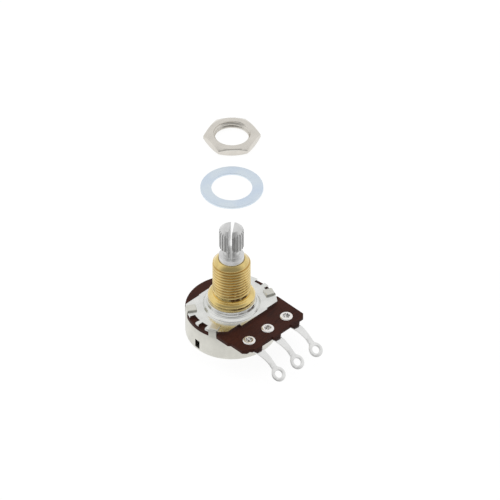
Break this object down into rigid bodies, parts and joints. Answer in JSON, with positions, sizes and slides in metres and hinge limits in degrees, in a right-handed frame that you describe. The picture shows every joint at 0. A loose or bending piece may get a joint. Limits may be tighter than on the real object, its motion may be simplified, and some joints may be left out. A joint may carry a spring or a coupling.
{
  "type": "rotary potentiometer",
  "caption": "Panel-mount rotary potentiometer: a pressed metal can under a terminal board, a threaded brass bushing and a split splined shaft, with its flat washer and hex nut lying beside it.",
  "frame": {"origin": "centre of the can's flat back face, on the shaft axis", "axes": "+Z along the shaft axis, from the can towards the shaft's splined end; the solder terminals point towards -Y; the loose washer and nut lie towards +X and +Y on the plane Z = 0"},
  "size_m": [0.0698, 0.0838, 0.034],
  "materials": {
    "can_sheet": "rolled nickel silver sheet, satin",
    "plate_sheet": "nickel plated, semi-bright",
    "brass": "turned, bright",
    "phenolic_board": "dark brown phenolic paper board, dull",
    "carbon_film": "printed carbon film, dull black",
    "contact_bronze": "phosphor bronze sheet",
    "tinned_terminal": "silver bright plating",
    "rivet_metal": "bright, heads formed and slightly rough",
    "shaft_alloy": "turned and splined, satin",
    "ring_steel": "spring steel",
    "rotor_phenolic": "moulded, dull dark brown",
    "zinc_plate": "clear blue zinc plating",
    "nickel_plate": "bright nickel plating"
  },
  "bodies": {
    "case": {"can_cover": "can_sheet", "mounting_plate": "plate_sheet", "threaded_bushing": "brass", "terminal_board": "phenolic_board", "resistive_track": "carbon_film", "collector_ring": "contact_bronze", "terminal_left": "tinned_terminal", "terminal_centre": "tinned_terminal", "terminal_right": "tinned_terminal", "rivet_left": "rivet_metal", "rivet_centre": "rivet_metal", "rivet_right": "rivet_metal", "flat_washer": "zinc_plate", "hex_nut": "nickel_plate"},
    "spindle": {"shaft": "shaft_alloy", "retaining_ring": "ring_steel", "thrust_washer": "contact_bronze", "rotor": "rotor_phenolic", "contact_spring": "contact_bronze"}
  },
  "joints": [
    {"name": "shaft_turn", "type": "hinge", "parent": "case", "child": "spindle", "pos_m": [0, 0, 0.0177], "axis": [0, 0, 1], "range_deg": [-150, 150]}
  ]
}
